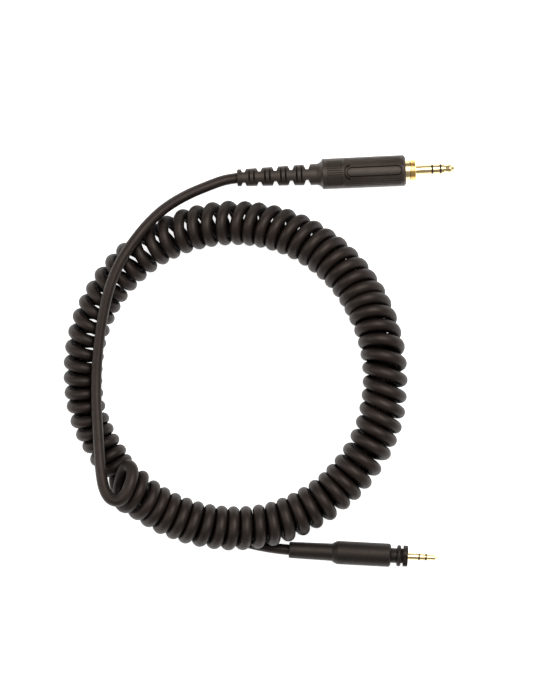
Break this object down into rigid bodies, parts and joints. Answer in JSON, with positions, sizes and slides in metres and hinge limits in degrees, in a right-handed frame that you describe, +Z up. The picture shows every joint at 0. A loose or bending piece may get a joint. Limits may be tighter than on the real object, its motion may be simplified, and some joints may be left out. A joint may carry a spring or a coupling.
{
  "type": "coiled headphone lead",
  "caption": "Curly audio lead laid in a ring, with a 3.5 mm stereo plug for a player and a 2.5 mm bayonet plug for an ear cup.",
  "frame": {"origin": "on the surface that the lead lies on, under the middle of the box round the two plugs", "axes": "+X the way both plugs point, +Y from the small plug to the large one, +Z up from the surface"},
  "size_m": [0.1454, 0.1527, 0.0255],
  "materials": {
    "badge": "satin, blank",
    "barrel": "satin",
    "bayonet": "satin",
    "boot": "matte",
    "copper": "bare strands",
    "cord_jacket": "matte, with a soft broad sheen",
    "gold": "gold plated, polished",
    "grip": "fine matte moulding",
    "insulator": "satin black",
    "left_wire": "white insulation",
    "mould": "natural",
    "right_wire": "red insulation",
    "solder": "dull tin",
    "terminal": "stamped strip"
  },
  "bodies": {
    "root": {"coil": "cord_jacket", "earcup_barrel": "barrel", "earcup_bayonet_collar": "bayonet", "earcup_cord_end": "cord_jacket", "earcup_front_insulator": "insulator", "earcup_ground_conductor": "copper", "earcup_ground_crimp": "terminal", "earcup_inner_insulating_tube": "insulator", "earcup_inner_mould": "mould", "earcup_lead": "cord_jacket", "earcup_left_conductor": "left_wire", "earcup_outer_insulating_tube": "insulator", "earcup_rear_insulator": "insulator", "earcup_right_conductor": "right_wire", "earcup_ring_contact": "gold", "earcup_ring_tag": "terminal", "earcup_sleeve_contact": "gold", "earcup_solder_joints": "solder", "earcup_strain_relief": "boot", "earcup_tip_contact": "gold", "earcup_tip_tag": "terminal", "player_badge_plate": "badge", "player_cord_end": "cord_jacket", "player_front_insulator": "insulator", "player_grip": "grip", "player_ground_conductor": "copper", "player_ground_crimp": "terminal", "player_inner_insulating_tube": "insulator", "player_inner_mould": "mould", "player_lead": "cord_jacket", "player_left_conductor": "left_wire", "player_outer_insulating_tube": "insulator", "player_rear_insulator": "insulator", "player_right_conductor": "right_wire", "player_ring_contact": "gold", "player_ring_tag": "terminal", "player_sleeve_contact": "gold", "player_solder_joints": "solder", "player_strain_relief": "boot", "player_threaded_collar": "gold", "player_tip_contact": "gold", "player_tip_tag": "terminal"}
  },
  "joints": []
}
